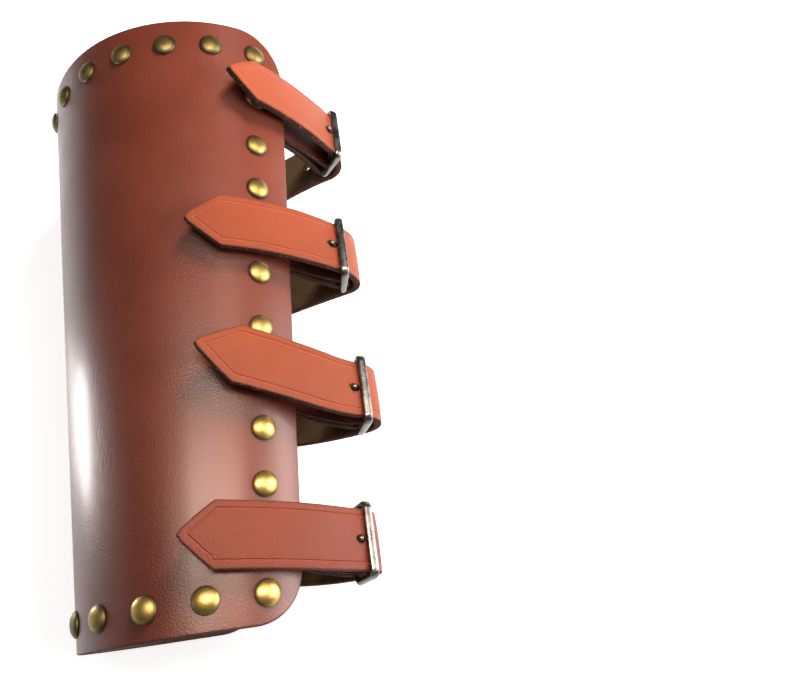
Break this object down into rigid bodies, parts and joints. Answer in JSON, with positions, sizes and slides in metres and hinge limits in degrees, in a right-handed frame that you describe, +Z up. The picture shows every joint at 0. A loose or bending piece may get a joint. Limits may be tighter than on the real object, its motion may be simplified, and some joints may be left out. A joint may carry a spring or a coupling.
{
  "type": "leather bracer",
  "caption": "Tapered leather forearm bracer with domed brass rivets round its edges, closed by straps with pointed ends through steel buckles.",
  "frame": {"origin": "on the floor under the middle of the bracer's bounding box, where its underside rests on its rivet heads", "axes": "+Z up, +Y along the forearm from the wrist end to the elbow end, +X to the open side with the buckles"},
  "size_m": [0.1308, 0.243, 0.0913],
  "materials": {
    "shell_leather": "semi-gloss",
    "strap_leather": "satin",
    "chape_leather": "satin",
    "antique_brass": "polished, darkened at the rim",
    "dark_steel": "polished gunmetal"
  },
  "bodies": {
    "root": {"shell": "shell_leather", "strap_wrist": "strap_leather", "chape_wrist": "chape_leather", "buckle_wrist": "dark_steel", "prong_wrist": "dark_steel", "strap_lower": "strap_leather", "chape_lower": "chape_leather", "buckle_lower": "dark_steel", "prong_lower": "dark_steel", "strap_upper": "strap_leather", "chape_upper": "chape_leather", "buckle_upper": "dark_steel", "prong_upper": "dark_steel", "strap_elbow": "strap_leather", "chape_elbow": "chape_leather", "buckle_elbow": "dark_steel", "prong_elbow": "dark_steel", "rivet_elbow_1": "antique_brass", "rivet_elbow_2": "antique_brass", "rivet_elbow_3": "antique_brass", "rivet_elbow_4": "antique_brass", "rivet_elbow_5": "antique_brass", "rivet_elbow_6": "antique_brass", "rivet_elbow_7": "antique_brass", "rivet_elbow_8": "antique_brass", "rivet_elbow_9": "antique_brass", "rivet_elbow_10": "antique_brass", "rivet_elbow_11": "antique_brass", "rivet_elbow_12": "antique_brass", "rivet_elbow_13": "antique_brass", "rivet_wrist_1": "antique_brass", "rivet_wrist_2": "antique_brass", "rivet_wrist_3": "antique_brass", "rivet_wrist_4": "antique_brass", "rivet_wrist_5": "antique_brass", "rivet_wrist_6": "antique_brass", "rivet_wrist_7": "antique_brass", "rivet_wrist_8": "antique_brass", "rivet_wrist_9": "antique_brass", "rivet_over_1": "antique_brass", "rivet_over_2": "antique_brass", "rivet_over_3": "antique_brass", "rivet_over_4": "antique_brass", "rivet_over_5": "antique_brass", "rivet_over_6": "antique_brass", "rivet_over_7": "antique_brass", "rivet_over_8": "antique_brass", "rivet_over_9": "antique_brass", "rivet_over_10": "antique_brass", "rivet_under_1": "antique_brass", "rivet_under_2": "antique_brass", "rivet_under_3": "antique_brass", "rivet_under_4": "antique_brass", "rivet_under_5": "antique_brass", "rivet_under_6": "antique_brass", "rivet_under_7": "antique_brass", "rivet_under_8": "antique_brass", "rivet_under_9": "antique_brass", "rivet_under_10": "antique_brass"}
  },
  "joints": []
}
